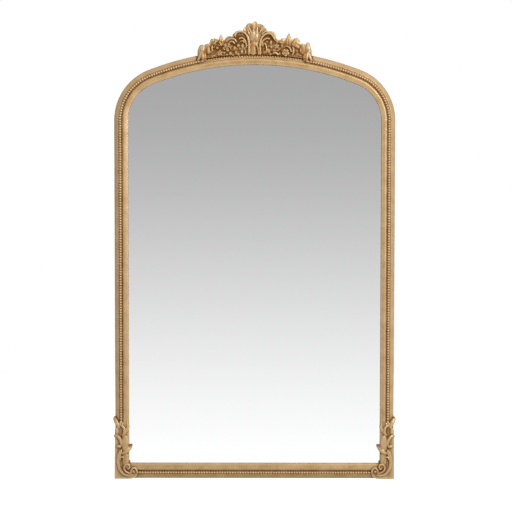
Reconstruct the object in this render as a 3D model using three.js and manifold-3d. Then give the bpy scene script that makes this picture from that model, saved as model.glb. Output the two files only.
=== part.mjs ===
// Arched wall mirror: a gilt cast frame with a carved crest and corner leaves, the mirror glass,
// a backing board, two keyhole plates to hang it by, and their screws.
// Millimetres, +X right, +Z up; the front faces -Y and the wall is the plane y = 0.
// The origin lies on the flat back of the board, on the centre line, level with the keyhole plates.
import * as THREE from "three";
import { mergeVertices } from "three/addons/utils/BufferGeometryUtils.js";
import Module from "manifold-3d";

const wasm = await Module();
wasm.setup();

// The opening that shows the glass: straight sides under a three-centred arch
const sightHalfWidth = 214.4;
const sightFoot = -531.5;
const springHeight = 52.6;
const sightTop = 146.6;
const shoulderRadius = 66;

// The rail around it, measured outwards from the sight edge
const railWidth = 24.5;
const footRailStretch = 1.1; // the bottom rail is wider than the others by this factor
const cornerBlockFoot = -560;
const arcSteps = 8;

// The stepped recess behind the rail, and what sits in it
const gap = 0.3;
const sliver = 0.02;
const boardThickness = 9;
const glassThickness = 3;
const glassOverlap = 5;
const boardOverlap = 14;

// Depths of the moulding's face in front of the wall
const outerSideDepth = 9.5;
const sightDepth = 15.6;
const beadRow = { offset: 14, depth: 17.4, radius: 2.15 };
const outerRoll = { offset: 21.5, depth: 12.2, halfWidth: 3, rise: 3.8 };

// The carving: back of the free leaves, front of the ground that they grow from
const leafBack = 6;
const crestGround = 15;
const cornerGround = 18.5;
const glassClearance = 13.4;
const crestDatum = 163.3; // height of the crest's foot on the centre line

// Keyhole plates and screws
const plate = { width: 50, height: 24, thickness: 2, corner: 4, spread: 150, screwSpread: 18 };
const keyhole = { entryRadius: 5, slotRadius: 2.7, entryHeight: -4.5, slotTop: 3.8 };
const headRoom = { halfWidth: 6.2, foot: -11, top: 8.4, depth: 6.8 };
const plateScrew = { head: 2.9, shank: 1.4, length: 7, sides: 8 };
const boardScrew = { head: 3.4, shank: 1.6, length: 14, sides: 8 };
const boardScrewOffset = 10;

const gilt = new THREE.MeshStandardMaterial({ color: 0xb9935f, roughness: 0.42, metalness: 0.65 });
const silvered = new THREE.MeshStandardMaterial({ color: 0xe8eaec, roughness: 0.03, metalness: 1 });
const fibreboard = new THREE.MeshStandardMaterial({ color: 0x8a6a48, roughness: 0.85, metalness: 0 });
const zinc = new THREE.MeshStandardMaterial({ color: 0xb4b6b8, roughness: 0.35, metalness: 1 });

// Sizes of the arch that follow from the driving ones
const archRise = sightTop - springHeight;
const shoulderCentre = sightHalfWidth - shoulderRadius;
const topRadius =
  (shoulderCentre ** 2 + archRise ** 2 - shoulderRadius ** 2) / (2 * (archRise - shoulderRadius));
const topCentre = sightTop - topRadius;
const shoulderSweep = Math.atan2(springHeight - topCentre, shoulderCentre);

// Solids

function solidOf(geometry) {
  const bare = new THREE.BufferGeometry();
  const flat = geometry.index ? geometry.toNonIndexed() : geometry;
  bare.setAttribute("position", flat.getAttribute("position"));
  const merged = mergeVertices(bare, 1e-4);
  const corners = merged.index.array;
  const kept = [];
  for (let i = 0; i < corners.length; i += 3) {
    const [a, b, c] = corners.slice(i, i + 3);
    if (a !== b && b !== c && c !== a) kept.push(a, b, c);
  }
  const mesh = new wasm.Mesh({
    numProp: 3,
    vertProperties: merged.getAttribute("position").array,
    triVerts: new Uint32Array(kept),
  });
  return new wasm.Manifold(mesh);
}

function geometryOf(solid) {
  const mesh = solid.getMesh();
  const geometry = new THREE.BufferGeometry();
  geometry.setAttribute("position", new THREE.BufferAttribute(mesh.vertProperties, 3));
  geometry.setIndex(new THREE.BufferAttribute(mesh.triVerts, 1));
  const faceted = geometry.toNonIndexed();
  faceted.computeVertexNormals();
  return faceted;
}

function joined(solids) {
  return solids.reduce((all, next) => all.add(next));
}

// The solid without the slivers and specks of air that its overlapping forms may leave.
function cleaned(solid) {
  const bodies = solid.simplify(sliver).decompose();
  return bodies.reduce((all, next) => (next.volume() > all.volume() ? next : all));
}

// A closed body through rings of points: either the last ring joins the first, or both are capped.
function skin(rings, looped = false) {
  const sides = rings[0].length;
  const index = [];
  const links = looped ? rings.length : rings.length - 1;
  for (let i = 0; i < links; i++) {
    const here = i * sides;
    const there = ((i + 1) % rings.length) * sides;
    for (let j = 0; j < sides; j++) {
      const next = (j + 1) % sides;
      index.push(here + j, there + next, here + next);
      index.push(here + j, there + j, there + next);
    }
  }
  const end = (rings.length - 1) * sides;
  for (let j = 1; !looped && j < sides - 1; j++) {
    index.push(0, j, j + 1);
    index.push(end, end + j + 1, end + j);
  }
  const geometry = new THREE.BufferGeometry().setFromPoints(rings.flat());
  geometry.setIndex(index);
  return solidOf(geometry);
}

// A flat shape drawn as it is seen from the front, standing between two depths from the wall.
// Each of its arcs gets the given number of steps.
function slab(shape, back, front, steps = 6) {
  const geometry = new THREE.ExtrudeGeometry(shape, {
    depth: front - back,
    bevelEnabled: false,
    curveSegments: steps / 2,
  });
  geometry.translate(0, 0, back);
  geometry.rotateX(Math.PI / 2);
  return solidOf(geometry);
}

// The arch

// The outline at an offset outside the sight edge.
function archOutline(offset) {
  const half = sightHalfWidth + offset;
  const foot = sightFoot - offset * footRailStretch;
  const radius = shoulderRadius + offset;
  const shape = new THREE.Shape();
  shape.moveTo(-half, foot);
  shape.lineTo(half, foot);
  shape.lineTo(half, springHeight);
  shape.absarc(shoulderCentre, springHeight, radius, 0, shoulderSweep);
  shape.absarc(0, topCentre, topRadius + offset, shoulderSweep, Math.PI - shoulderSweep);
  shape.absarc(-shoulderCentre, springHeight, radius, Math.PI - shoulderSweep, Math.PI);
  shape.lineTo(-half, foot);
  return shape;
}

// Places along the sight edge, each with the direction in which the rail's section is laid out.
function railStations() {
  const stations = [
    { at: new THREE.Vector2(-sightHalfWidth, sightFoot), out: new THREE.Vector2(-1, -footRailStretch) },
    { at: new THREE.Vector2(sightHalfWidth, sightFoot), out: new THREE.Vector2(1, -footRailStretch) },
  ];
  const arc = (centre, height, radius, from, to) => {
    for (let i = 0; i <= arcSteps; i++) {
      const angle = from + ((to - from) * i) / arcSteps;
      const out = new THREE.Vector2(Math.cos(angle), Math.sin(angle));
      const at = new THREE.Vector2(centre, height).addScaledVector(out, radius);
      stations.push({ at, out });
    }
  };
  const far = Math.PI - shoulderSweep;
  arc(shoulderCentre, springHeight, shoulderRadius, 0, shoulderSweep);
  arc(0, topCentre, topRadius, shoulderSweep, far);
  arc(-shoulderCentre, springHeight, shoulderRadius, far, Math.PI);
  return stations.filter((s, i) => i === 0 || s.at.distanceTo(stations[i - 1].at) > gap);
}

// The rail's section as [offset, depth], from the outer back edge over the face to the sight edge.
// The recess behind it is cut later.
function railSection() {
  const bow = (centre, level, halfWidth, rise, from, to, steps) =>
    Array.from({ length: steps + 1 }, (_, i) => {
      const angle = THREE.MathUtils.degToRad(from + ((to - from) * i) / steps);
      return [centre + halfWidth * Math.cos(angle), level + rise * Math.sin(angle)];
    });
  return [
    [railWidth, 0],
    [railWidth, outerSideDepth],
    ...bow(outerRoll.offset, outerRoll.depth, outerRoll.halfWidth, outerRoll.rise, 0, 160, 4),
    [17.2, 12.8],
    ...bow(beadRow.offset, beadRow.depth, beadRow.radius, beadRow.radius, 0, 180, 3),
    [11.1, 16.4],
    [9.4, 21.6],
    [7.6, 22.5],
    [5.4, 19],
    [3.2, 17],
    [0, sightDepth],
    [0, 0],
  ];
}

function rail() {
  const section = railSection();
  const rings = railStations().map(({ at, out }) =>
    section.map(([offset, depth]) => {
      const place = at.clone().addScaledVector(out, offset);
      return new THREE.Vector3(place.x, -depth, place.y);
    }),
  );
  return skin(rings, true);
}

// Carved forms

// Sections of a leaf as [side, height]: side runs from edge to edge, height from rim 0 to crown 1.
const ridgedLeaf = [[-1, 0], [0, 1], [1, 0]];
const roundedLeaf = [[-1, 0.1], [-0.5, 1], [0.5, 1], [1, 0.1]];
const hollowLeaf = [[-0.9, 1], [0, 0.1], [0.9, 1]];

// A body carried along a line: each stop gives its place, half width and crown depth.
function carvedAlong(stops, section, back) {
  const rings = stops.map(({ place, side, half, crown }) => {
    const swell = Math.min(half * 0.8, crown - back - 0.5);
    const front = section.map(([across, height]) => {
      const spot = place.clone().addScaledVector(side, across * half);
      return new THREE.Vector3(spot.x, -(crown - swell * (1 - height)), spot.y);
    });
    const rear = [1, -1].map((across) => {
      const spot = place.clone().addScaledVector(side, across * half);
      return new THREE.Vector3(spot.x, -back, spot.y);
    });
    return [...front, ...rear];
  });
  return skin(rings);
}

// A leaf from root to tip. Bow bends it sideways as a share of its length; it is widest at belly,
// and its root and tip are shares of that width. Lift raises its middle and droop lowers its tip.
function leaf({
  root,
  tip,
  width,
  depth,
  bow = 0,
  rootShare = 0.6,
  belly = 0.5,
  tipShare = 0.3,
  lift = 1.5,
  droop = 0,
  section = ridgedLeaf,
  back = leafBack,
  steps = 3,
}) {
  const start = new THREE.Vector2(...root);
  const end = new THREE.Vector2(...tip);
  const along = end.clone().sub(start);
  const sideways = new THREE.Vector2(-along.y, along.x);
  const bend = start.clone().addScaledVector(along, 0.5).addScaledVector(sideways, bow * 2);
  const line = new THREE.QuadraticBezierCurve(start, bend, end);
  const stops = [];
  for (let i = 0; i <= steps; i++) {
    const t = i / steps;
    const tangent = line.getTangent(t);
    const share =
      t < belly
        ? THREE.MathUtils.lerp(1, rootShare, (1 - t / belly) ** 2)
        : THREE.MathUtils.lerp(1, tipShare, ((t - belly) / (1 - belly)) ** 2);
    stops.push({
      place: line.getPoint(t),
      side: new THREE.Vector2(-tangent.y, tangent.x),
      half: (width / 2) * share,
      crown: depth + lift * Math.sin(Math.PI * t) - droop * t * t,
    });
  }
  return carvedAlong(stops, section, back);
}

// A scroll: a band that turns about a centre while its radius and width change.
function scroll({ centre, radius, turn, width = [4.6, 3], depth = 23, steps = 6 }) {
  const stops = [];
  for (let i = 0; i <= steps; i++) {
    const t = i / steps;
    const angle = THREE.MathUtils.degToRad(THREE.MathUtils.lerp(turn[0], turn[1], t));
    const out = new THREE.Vector2(Math.cos(angle), Math.sin(angle));
    const place = new THREE.Vector2(...centre).addScaledVector(
      out,
      THREE.MathUtils.lerp(radius[0], radius[1], t),
    );
    stops.push({
      place,
      side: turn[1] > turn[0] ? out.clone().negate() : out.clone(),
      half: THREE.MathUtils.lerp(width[0], width[1], t) / 2,
      crown: depth + Math.sin(Math.PI * t),
    });
  }
  return carvedAlong(stops, roundedLeaf, leafBack);
}

// A petal or berry: a stretched ball that swells out of the ground, turned about the line of sight.
function petal({ at, size, depth, turn = 0, root = crestGround - 1, around = 6 }) {
  const ball = new THREE.SphereGeometry(1, around, 3);
  ball.scale(size[0], depth - root, size[1]);
  ball.rotateY(THREE.MathUtils.degToRad(-turn));
  ball.translate(at[0], -root, at[1]);
  return solidOf(ball);
}

// A flower: petals set round a middle.
function flower({ at, petals, radius, petalSize, depth, middle, start = 90 }) {
  const parts = [petal({ at, size: [middle, middle], depth: depth + 1.5 })];
  for (let i = 0; i < petals; i++) {
    const angle = start + (360 * i) / petals;
    const out = THREE.MathUtils.degToRad(angle);
    const place = [at[0] + radius * Math.cos(out), at[1] + radius * Math.sin(out)];
    parts.push(petal({ at: place, size: petalSize, depth, turn: angle }));
  }
  return joined(parts);
}

// The crest, drawn on its own centre line with its foot at height 0

function crestGroundSlab() {
  const halfSpan = 93;
  const tops = [38, 38, 37, 34, 23, 22, 24, 20, 17, 9, 2];
  const foot = (x) => {
    const reach = topRadius + 17;
    return topCentre + Math.sqrt(reach ** 2 - x ** 2) - crestDatum;
  };
  const crown = tops.map((top, i) => new THREE.Vector2((halfSpan * i) / (tops.length - 1), top));
  const footSteps = 8;
  const shape = new THREE.Shape();
  shape.moveTo(-halfSpan, foot(halfSpan));
  for (let i = 1; i <= footSteps; i++) {
    const x = halfSpan * ((2 * i) / footSteps - 1);
    shape.lineTo(x, foot(x));
  }
  for (const { x, y } of crown.toReversed()) shape.lineTo(x, y);
  for (const { x, y } of crown.slice(1)) shape.lineTo(-x, y);
  shape.closePath();
  return slab(shape, 0, crestGround);
}

function shell() {
  const focus = [0, 14];
  const fanStep = THREE.MathUtils.degToRad(13.5);
  const lobes = [];
  for (let i = -3; i <= 3; i++) {
    const rank = Math.abs(i);
    const along = (reach) => [
      focus[0] + reach * Math.sin(fanStep * i),
      focus[1] + reach * Math.cos(fanStep * i),
    ];
    lobes.push(
      leaf({
        root: along(6),
        tip: along(42.3 - 3.2 * rank),
        width: 9.6 - 0.4 * rank,
        rootShare: 0.3,
        belly: 0.85,
        tipShare: 0.7,
        depth: 26 - 1.2 * rank,
        lift: -1.5,
        section: hollowLeaf,
      }),
    );
  }
  return joined(lobes);
}

// The upright tongue under the shell, framed by a rib.
function tongue() {
  const springing = 12.5;
  const reach = 6.3;
  const band = { width: 2.6, depth: 23, rootShare: 1, tipShare: 1, steps: 1 };
  return joined([
    leaf({ root: [0, -1], tip: [0, 17.5], width: 9, depth: 22, rootShare: 1, tipShare: 0.6 }),
    scroll({ centre: [0, springing], radius: [reach, reach], turn: [0, 180], width: [2.6, 2.6] }),
    leaf({ root: [-reach, -1], tip: [-reach, springing + 1], ...band }),
    leaf({ root: [reach, -1], tip: [reach, springing + 1], ...band }),
  ]);
}

// What both halves of the crest carry; side is 1 on the right and -1 on the left.
function crestHalf(side) {
  const at = (x, z) => [side * x, z];
  const turned = (from, to) => (side > 0 ? [from, to] : [180 - from, 180 - to]);
  const bowed = (bow) => side * bow;
  const pointed = { belly: 0.35, tipShare: 0.08, droop: 2 };
  const broad = { belly: 0.7, tipShare: 0.6, droop: 2 };
  const lobe = { droop: 3, tipShare: 0.5 };
  return joined([
    // The stem and its scroll, with a turned-up rim and an inner curl
    leaf({ root: at(10.4, -1), tip: at(11.8, 27), width: 5.4, depth: 24, tipShare: 0.9 }),
    scroll({ centre: at(22.6, 25.5), radius: [10.9, 9.6], turn: turned(185, -15), depth: 27 }),
    scroll({ centre: at(22.9, 25.5), radius: [13.4, 13.4], turn: turned(145, -20), depth: 23 }),
    scroll({ centre: at(21.5, 21.5), radius: [6.8, 5], turn: turned(200, 10), depth: 25 }),
    // The leaves that hang under the scroll, and the wave leaf beside it
    leaf({ root: at(17, 19), tip: at(18, 0), width: 6, depth: 21 }),
    leaf({ root: at(23.5, 17), tip: at(24.5, 0), width: 7, depth: 23 }),
    leaf({ root: at(29, 16), tip: at(33, 0), width: 7, depth: 22 }),
    leaf({ root: at(27, 16), tip: at(47.5, 27), width: 10, depth: 22, bow: bowed(0.12), droop: 2 }),
    // The upright leaves behind the flowers
    leaf({ root: at(55, 6), tip: at(57.2, 35.5), width: 14, depth: 17.5, ...pointed }),
    leaf({ root: at(65, 2), tip: at(73.5, 27.5), width: 14, depth: 18.5, ...broad }),
    leaf({ root: at(78, -2), tip: at(89.5, 18.5), width: 15, depth: 18.5, ...broad }),
    // The three drooping lobes at the end
    leaf({ root: at(90, 8), tip: at(94.5, -11.5), width: 6.4, depth: 21, bow: bowed(0.08), ...lobe }),
    leaf({ root: at(87, 8), tip: at(88.5, -11), width: 6, depth: 22.5, ...lobe }),
    leaf({ root: at(84, 6), tip: at(83, -12.5), width: 6, depth: 21.5, ...lobe }),
  ]);
}

function leftFlowers() {
  return joined([
    petal({ at: [-46.5, 11.5], size: [8, 8], depth: 24, around: 8 }),
    flower({ at: [-64, 10.5], petals: 5, radius: 6.4, petalSize: [4.8, 5.2], depth: 23.5, middle: 3.4 }),
    petal({ at: [-58.3, 1.8], size: [5.2, 5], depth: 25 }),
    petal({ at: [-77.5, 3], size: [4, 6], depth: 22.5 }),
  ]);
}

function rightFlowers() {
  return joined([
    petal({ at: [37.5, 11.5], size: [4.8, 4.8], depth: 24 }),
    petal({ at: [45.8, 12], size: [4.6, 7], depth: 23.5 }),
    flower({ at: [54.5, 4], petals: 5, radius: 4.8, petalSize: [3.8, 4], depth: 24, middle: 2.8 }),
    scroll({ centre: [54.5, 4], radius: [12, 11], turn: [75, -25], depth: 22, steps: 5 }),
    petal({ at: [74.5, 4], size: [4, 7], depth: 22 }),
  ]);
}

function crest() {
  const halves = [crestHalf(-1), crestHalf(1), leftFlowers(), rightFlowers()];
  return joined([crestGroundSlab(), shell(), tongue(), ...halves]).translate([0, 0, crestDatum]);
}

// A corner, drawn for the left one from its outer bottom point: x runs inwards and z up

function cornerGroundSlab() {
  const shape = new THREE.Shape();
  shape.moveTo(0.4, 2);
  shape.lineTo(30, 2);
  shape.absarc(30, 9, 7, -Math.PI / 2, Math.PI / 2);
  shape.lineTo(16, 22);
  shape.lineTo(16, 88);
  shape.lineTo(10.5, 97);
  shape.lineTo(4, 90);
  shape.lineTo(0.4, 84);
  shape.closePath();
  return slab(shape, 0, cornerGround);
}

function cornerBlock() {
  const shape = new THREE.Shape();
  shape.moveTo(0, 0);
  shape.lineTo(26, 0);
  shape.lineTo(24, 6);
  shape.lineTo(0, 6);
  shape.closePath();
  return slab(shape, 0, outerSideDepth + 4);
}

function cornerLeaves() {
  const root = cornerGround - 1;
  const overGlass = { back: glassClearance };
  const curled = { bow: -0.23, tipShare: 0.5 };
  return joined([
    // The head of the corner: a pointed leaf between two that curl outwards, over a small flower
    leaf({ root: [10, 78], tip: [10.5, 101], width: 10, depth: 23, tipShare: 0.1, droop: 2 }),
    leaf({ root: [7, 80], tip: [0.5, 108], width: 10, depth: 20, belly: 0.65, droop: 3 }),
    leaf({ root: [13, 76], tip: [23.8, 97], width: 9, depth: 24, bow: 0.08, belly: 0.6, ...overGlass }),
    petal({ at: [9, 81.5], size: [5, 5.4], depth: 26, root }),
    // The crossing leaves
    leaf({ root: [12, 55], tip: [-1.6, 73], width: 9, depth: 21.5, steps: 4, ...curled }),
    leaf({ root: [13, 43], tip: [2.2, 59], width: 8, depth: 22, ...curled }),
    leaf({ root: [15, 88], tip: [30.6, 60], width: 13, depth: 24, bow: -0.2, steps: 4, ...overGlass }),
    leaf({ root: [12, 44], tip: [27, 55], width: 8, depth: 24.5, bow: 0.1, ...overGlass }),
    // The long scroll and the band inside it
    scroll({ centre: [24, 30], radius: [20, 22], turn: [115, 282], width: [5, 6], steps: 7 }),
    scroll({ centre: [24, 30], radius: [13.6, 13.6], turn: [120, 250], depth: 22.5, steps: 5 }),
    // The volutes and the tip over the inner corner
    petal({ at: [22, 21], size: [4, 5], depth: 25.5, root }),
    scroll({ centre: [32.6, 13], radius: [5.4, 4.8], turn: [200, -30], depth: 22, steps: 5 }),
    leaf({ root: [18, 29], tip: [30, 31], width: 7, depth: 22, tipShare: 0.5, ...overGlass }),
  ]);
}

function corner(side) {
  const drawn = joined([cornerGroundSlab(), cornerBlock(), cornerLeaves()]);
  const left = drawn.translate([-(sightHalfWidth + railWidth), 0, cornerBlockFoot]);
  return side < 0 ? left : left.mirror([1, 0, 0]);
}

// Screws, drawn head outwards at the wall plane, point towards the front

function screwBody({ head, shank, length, sides }, grow = 0) {
  const seat = grow > 0 ? -1 : 0.2;
  const coneFoot = 0.2 + head - shank;
  const profile = [
    [0, seat],
    [head + grow, seat],
    [head + grow, 0.3],
    [shank + grow, coneFoot + 0.3],
    [grow > 0 ? shank + grow : shank * 0.6, length + grow],
    [0, length + grow],
  ];
  const outline = profile.map(([radius, depth]) => new THREE.Vector2(radius, -depth)).reverse();
  return solidOf(new THREE.LatheGeometry(outline, sides));
}

function boardScrewPlaces() {
  const half = sightHalfWidth + boardScrewOffset;
  const sides = [-1, 1].flatMap((side) => [-60, -400].map((z) => [side * half, z]));
  const ends = [sightTop + boardScrewOffset, sightFoot - boardScrewOffset * footRailStretch];
  return [...sides, ...ends.map((z) => [0, z])];
}

function plateScrewPlaces(side) {
  return [-1, 1].map((end) => [side * plate.spread + end * plate.screwSpread, 0]);
}

// The hanger plates

function roundedRectangle(width, height, corner) {
  const [x, y] = [width / 2 - corner, height / 2 - corner];
  const shape = new THREE.Shape();
  shape.absarc(x, y, corner, 0, Math.PI / 2);
  shape.absarc(-x, y, corner, Math.PI / 2, Math.PI);
  shape.absarc(-x, -y, corner, Math.PI, Math.PI * 1.5);
  shape.absarc(x, -y, corner, Math.PI * 1.5, Math.PI * 2);
  shape.closePath();
  return shape;
}

function keyholeOutline() {
  const { entryRadius, slotRadius, entryHeight, slotTop } = keyhole;
  const notch = Math.asin(slotRadius / entryRadius);
  const path = new THREE.Path();
  path.absarc(0, slotTop, slotRadius, 0, Math.PI);
  path.absarc(0, entryHeight, entryRadius, Math.PI / 2 + notch, Math.PI * 2.5 - notch);
  path.closePath();
  return path;
}

function hangerPlate(side) {
  const shape = roundedRectangle(plate.width, plate.height, plate.corner);
  shape.holes.push(keyholeOutline());
  const blank = slab(shape, 0, plate.thickness).translate([side * plate.spread, 0, 0]);
  return plateScrewPlaces(side).reduce(
    (solid, [x, z]) => solid.subtract(screwBody(plateScrew, gap).translate([x, 0, z])),
    blank,
  );
}

// The pocket that a plate lies in, with room behind the keyhole for the head of the wall screw.
function platePocket(side) {
  const { width, height, corner, thickness } = plate;
  const seat = roundedRectangle(width + 2 * gap, height + 2 * gap, corner + gap);
  const room = new THREE.Shape();
  room.moveTo(-headRoom.halfWidth, headRoom.foot);
  room.lineTo(headRoom.halfWidth, headRoom.foot);
  room.lineTo(headRoom.halfWidth, headRoom.top);
  room.lineTo(-headRoom.halfWidth, headRoom.top);
  room.closePath();
  return slab(seat, -1, thickness + gap)
    .add(slab(room, -1, headRoom.depth))
    .translate([side * plate.spread, 0, 0]);
}

function backingBoard() {
  let board = slab(archOutline(boardOverlap), 0, boardThickness, arcSteps);
  for (const [x, z] of boardScrewPlaces()) {
    board = board.subtract(screwBody(boardScrew, gap).translate([x, 0, z]));
  }
  for (const side of [-1, 1]) {
    board = board.subtract(platePocket(side));
    for (const [x, z] of plateScrewPlaces(side)) {
      board = board.subtract(screwBody(plateScrew, gap).translate([x, 0, z]));
    }
  }
  return board;
}

function mirrorGlass() {
  const back = boardThickness + gap;
  return slab(archOutline(glassOverlap), back, back + glassThickness, arcSteps);
}

function frame() {
  let body = joined([rail(), crest(), corner(-1), corner(1)]);
  const ledge = boardThickness + gap;
  const lipBack = ledge + glassThickness + gap;
  body = body.subtract(slab(archOutline(boardOverlap + gap), -1, ledge, arcSteps));
  body = body.subtract(slab(archOutline(glassOverlap + gap), 0, lipBack, arcSteps));
  for (const [x, z] of boardScrewPlaces()) {
    body = body.subtract(screwBody(boardScrew, gap).translate([x, 0, z]));
  }
  return cleaned(body);
}

const mirror = new THREE.Group();

function place(name, solid, material, at = [0, 0]) {
  const mesh = new THREE.Mesh(geometryOf(solid), material);
  mesh.name = name;
  mesh.position.set(at[0], 0, at[1]);
  mirror.add(mesh);
}

place("frame", frame(), gilt);
place("mirror_glass", mirrorGlass(), silvered);
place("backing_board", backingBoard(), fibreboard);
for (const [side, word] of [[-1, "left"], [1, "right"]]) {
  place(`hanger_plate_${word}`, hangerPlate(side), zinc);
  plateScrewPlaces(side).forEach((at, i) => {
    place(`plate_screw_${word}_${i + 1}`, screwBody(plateScrew), zinc, at);
  });
}
boardScrewPlaces().forEach((at, i) => {
  place(`board_screw_${i + 1}`, screwBody(boardScrew), zinc, at);
});

export default mirror;
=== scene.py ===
import math

import bmesh
import bpy
import numpy as np
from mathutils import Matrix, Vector


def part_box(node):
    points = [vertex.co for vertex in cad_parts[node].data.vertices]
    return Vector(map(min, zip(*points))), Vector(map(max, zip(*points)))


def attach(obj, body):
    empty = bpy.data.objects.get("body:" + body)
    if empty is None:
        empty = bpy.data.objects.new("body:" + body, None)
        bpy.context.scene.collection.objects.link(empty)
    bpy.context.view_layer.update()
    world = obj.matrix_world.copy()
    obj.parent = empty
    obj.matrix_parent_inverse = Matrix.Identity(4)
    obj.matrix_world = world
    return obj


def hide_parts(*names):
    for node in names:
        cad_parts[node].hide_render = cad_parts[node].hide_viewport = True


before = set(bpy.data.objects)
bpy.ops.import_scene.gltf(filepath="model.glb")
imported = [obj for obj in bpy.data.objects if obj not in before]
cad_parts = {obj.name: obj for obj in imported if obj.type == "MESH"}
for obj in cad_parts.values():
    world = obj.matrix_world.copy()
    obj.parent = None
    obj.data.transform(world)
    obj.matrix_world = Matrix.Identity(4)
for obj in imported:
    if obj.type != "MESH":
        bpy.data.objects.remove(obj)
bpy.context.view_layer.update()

metre = 1000.0  # millimetres to the metre
sharpAngle = 0.8  # edges that turn more than this, in radians, stay sharp


# Meshes

def newObject(name, points, faces, slotName, smooth=True):
    mesh = bpy.data.meshes.new(name)
    mesh.from_pydata(points.tolist(), [], faces)
    shaped = bmesh.new()
    shaped.from_mesh(mesh)
    bmesh.ops.recalc_face_normals(shaped, faces=shaped.faces)
    shaped.to_mesh(mesh)
    shaped.free()
    if smooth:
        mesh.shade_smooth()
        mesh.set_sharp_from_angle(angle=sharpAngle)
    made = bpy.data.objects.new(name, mesh)
    bpy.context.scene.collection.objects.link(made)
    return made


def pointsOf(made):
    found = np.empty(len(made.data.vertices) * 3)
    made.data.vertices.foreach_get("co", found)
    return found.reshape(-1, 3)


def finished(made):
    # the object with its modifiers built in
    graph = bpy.context.evaluated_depsgraph_get()
    mesh = bpy.data.meshes.new_from_object(made.evaluated_get(graph))
    made.modifiers.clear()
    made.data = mesh
    return made


def skin(rings, looped=False):
    # a closed body through rings of points
    count, sides = rings.shape[:2]
    faces = []
    for i in range(count if looped else count - 1):
        here, there = i * sides, (i + 1) % count * sides
        for j in range(sides):
            k = (j + 1) % sides
            faces.append((here + j, here + k, there + k, there + j))
    if not looped:
        faces.append(tuple(range(sides)))
        faces.append(tuple((count - 1) * sides + j for j in range(sides)))
    return rings.reshape(-1, 3), faces


def gathered(bodies):
    points, faces, start = [], [], 0
    for bodyPoints, bodyFaces in bodies:
        points.append(bodyPoints)
        faces += [tuple(start + i for i in face) for face in bodyFaces]
        start += len(bodyPoints)
    return np.concatenate(points), faces


def mirrored(bodies):
    return [(points * (-1, 1, 1), faces) for points, faces in bodies]


def lowered(bodies, ground, share):
    # brings what stands in front of the ground closer to it
    changed = []
    for points, faces in bodies:
        points = points.copy()
        points[:, 1] += (1 - share) * np.clip(-points[:, 1] - ground, 0, None)
        changed.append((points, faces))
    return changed


def movedTo(bodies, across, up):
    return [(points + (across, 0, up), faces) for points, faces in bodies]


# The arch and the rail round it

glassLow, glassHigh = (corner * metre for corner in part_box("mirror_glass"))
frameLow, frameHigh = (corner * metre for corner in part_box("frame"))

arch = {
    "glassOverlap": 5,  # how far the glass runs behind the rail
    "footStretch": 1.1,
    "springHeight": 52.6,
    "shoulderRadius": 66,
    # the bottom rail is wider than the others: [offset, offset there]
    "footOffsets": [[0, 0], [10.4, 12.9], [13.2, 15.8], [23.7, 26.7]],
    "crownStretch": 0.06,  # how much wider the rail is at the top of the arch than at the sides
}
arch["halfWidth"] = glassHigh.x - arch["glassOverlap"]
arch["foot"] = glassLow.z + arch["glassOverlap"] * arch["footStretch"]
arch["top"] = glassHigh.z - arch["glassOverlap"]
archRise = arch["top"] - arch["springHeight"]
shoulderCentre = arch["halfWidth"] - arch["shoulderRadius"]
topRadius = (shoulderCentre ** 2 + archRise ** 2 - arch["shoulderRadius"] ** 2) / (
    2 * (archRise - arch["shoulderRadius"])
)
topCentre = arch["top"] - topRadius
shoulderSweep = math.atan2(arch["springHeight"] - topCentre, shoulderCentre)


def sightStations(step):
    # places along the sight edge, anticlockwise from the bottom left, with the way out of the opening
    half, foot, spring = arch["halfWidth"], arch["foot"], arch["springHeight"]
    stations = []
    across = np.arange(-half, half + step / 2, 2 * half / round(2 * half / step))
    for i, x in enumerate(across):
        corner = -1 if i == 0 else 1 if i == len(across) - 1 else 0
        stations.append((x, foot, corner, -1))
    for z in np.linspace(foot, spring, round((spring - foot) / step) + 1)[1:]:
        stations.append((half, z, 1, 0))

    def turn(centre, height, radius, start, end):
        steps = round(radius * abs(end - start) / step)
        for angle in np.linspace(start, end, steps + 1)[1:]:
            out = math.cos(angle), math.sin(angle)
            stations.append((centre + radius * out[0], height + radius * out[1], *out))

    far = math.pi - shoulderSweep
    turn(shoulderCentre, spring, arch["shoulderRadius"], 0, shoulderSweep)
    turn(0, topCentre, topRadius, shoulderSweep, far)
    turn(-shoulderCentre, spring, arch["shoulderRadius"], far, math.pi)
    for z in np.linspace(spring, foot, round((spring - foot) / step) + 1)[1:-1]:
        stations.append((-half, z, -1, 0))
    return np.array(stations)


def footOffset(offset):
    plain, stretched = np.array(arch["footOffsets"]).T
    return np.interp(offset, plain, stretched)


def crownStretch(up):
    # up is the upright part of the way out of the opening
    return 1 + arch["crownStretch"] * np.maximum(up, 0) ** 2


def offsetAt(x, z):
    # how far outside the sight edge a place lies
    wide = np.abs(x)
    plain, stretched = np.array(arch["footOffsets"]).T
    below = arch["foot"] - z
    below = np.where(below > 0, np.interp(below, stretched, plain, right=99), below)
    sides = np.maximum(wide - arch["halfWidth"], below)
    isCrown = np.arctan2(z - topCentre, wide) > shoulderSweep
    centre, height = np.where(isCrown, 0, shoulderCentre), np.where(isCrown, topCentre, arch["springHeight"])
    away = np.hypot(wide - centre, z - height)
    arched = away - np.where(isCrown, topRadius, arch["shoulderRadius"])
    arched /= crownStretch((z - height) / np.maximum(away, 1))
    return np.where(z > arch["springHeight"], arched, sides)


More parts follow.
